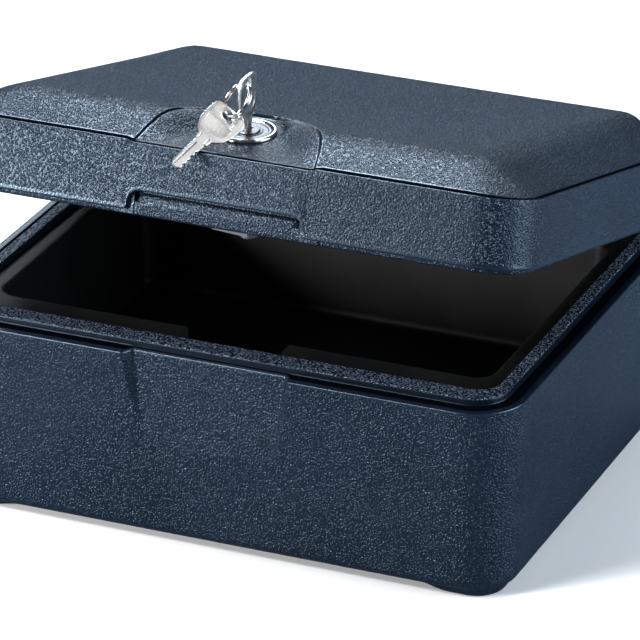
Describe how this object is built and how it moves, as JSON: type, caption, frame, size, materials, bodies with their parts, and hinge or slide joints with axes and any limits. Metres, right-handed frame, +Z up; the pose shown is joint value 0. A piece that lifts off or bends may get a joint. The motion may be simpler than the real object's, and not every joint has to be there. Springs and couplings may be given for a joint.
{
  "type": "fireproof document box",
  "caption": "Moulded fire-resistant chest with a hinged insulated lid standing ajar, a keyed cam lock in the lid, and keys on a split ring.",
  "frame": {"origin": "on the floor under the middle of the whole object, hinges included", "axes": "+X to the right seen from the front, +Y to the back, +Z up; the front and the lock face -Y"},
  "size_m": [0.355, 0.2988, 0.2639],
  "materials": {
    "shell_plastic": "moulded pebble grain, satin, dark slate blue",
    "liner_plastic": "smooth satin, near black",
    "insulation": "cast mineral filling, sealed inside the walls",
    "zinc_steel": "zinc plated",
    "chrome": "polished",
    "satin_chrome": "satin",
    "plug_metal": "satin nickel over brass",
    "brass": "stamped",
    "spring_steel": "bright wire",
    "nickel": "nickel plated, worn"
  },
  "bodies": {
    "base": {"base_shell": "shell_plastic", "base_insulation": "insulation", "base_liner": "liner_plastic", "strike_plate": "zinc_steel", "strike_screw_left": "zinc_steel", "strike_screw_right": "zinc_steel", "hinge_pin_left": "zinc_steel", "hinge_pin_right": "zinc_steel"},
    "lid": {"lid_shell": "shell_plastic", "lid_insulation": "insulation", "lid_liner": "liner_plastic", "lock_bezel": "chrome", "lock_body": "satin_chrome", "lock_nut": "zinc_steel"},
    "plug": {"lock_plug": "plug_metal", "lock_cam": "zinc_steel", "cam_screw": "zinc_steel", "wafer_spring_1": "spring_steel", "wafer_spring_2": "spring_steel", "wafer_spring_3": "spring_steel", "wafer_spring_4": "spring_steel"},
    "inserted_key": {"key_in_lock": "nickel"},
    "ring": {"key_ring": "nickel"},
    "spare": {"spare_key": "nickel"},
    "wafer_1_plate": {"wafer_1": "brass"},
    "wafer_2_plate": {"wafer_2": "brass"},
    "wafer_3_plate": {"wafer_3": "brass"},
    "wafer_4_plate": {"wafer_4": "brass"}
  },
  "joints": [
    {"name": "lid_hinge", "type": "hinge", "parent": "base", "child": "lid", "pos_m": [0, 0.1429, 0.103], "axis": [-1, 0, 0], "range_deg": [-15.1, 80]},
    {"name": "plug_turn", "type": "hinge", "parent": "lid", "child": "plug", "pos_m": [0, -0.08718, 0.23029], "axis": [0, -0.007, 1], "range_deg": [0, 90]},
    {"name": "key_slide", "type": "slide", "parent": "plug", "child": "inserted_key", "axis": [0, -0.007, 1], "range_m": [0, 0.022]},
    {"name": "ring_swing", "type": "hinge", "parent": "inserted_key", "child": "ring", "pos_m": [0, -0.08739, 0.25929], "axis": [-0.7927, 0.6073, -0.0527], "range_deg": [0, 45]},
    {"name": "spare_key_lift", "type": "hinge", "parent": "ring", "child": "spare", "pos_m": [-0.00709, -0.09806, 0.24291], "axis": [-0.7927, 0.6073, -0.0527], "range_deg": [0, 30]},
    {"name": "wafer_1_slide", "type": "slide", "parent": "plug", "child": "wafer_1_plate", "axis": [0, 1, 0.007], "range_m": [0, 0.0011]},
    {"name": "wafer_2_slide", "type": "slide", "parent": "plug", "child": "wafer_2_plate", "axis": [0, 1, 0.007], "range_m": [0, 0.0011]},
    {"name": "wafer_3_slide", "type": "slide", "parent": "plug", "child": "wafer_3_plate", "axis": [0, 1, 0.007], "range_m": [0, 0.0011]},
    {"name": "wafer_4_slide", "type": "slide", "parent": "plug", "child": "wafer_4_plate", "axis": [0, 1, 0.007], "range_m": [0, 0.0011]}
  ],
  "couplings": [
    {"joint": "spare_key_lift", "follows": "plug_turn", "ratio": 0.28},
    {"joint": "wafer_1_slide", "follows": "key_slide", "ratio": 0.05},
    {"joint": "wafer_2_slide", "follows": "key_slide", "ratio": 0.05},
    {"joint": "wafer_3_slide", "follows": "key_slide", "ratio": 0.05},
    {"joint": "wafer_4_slide", "follows": "key_slide", "ratio": 0.05}
  ]
}
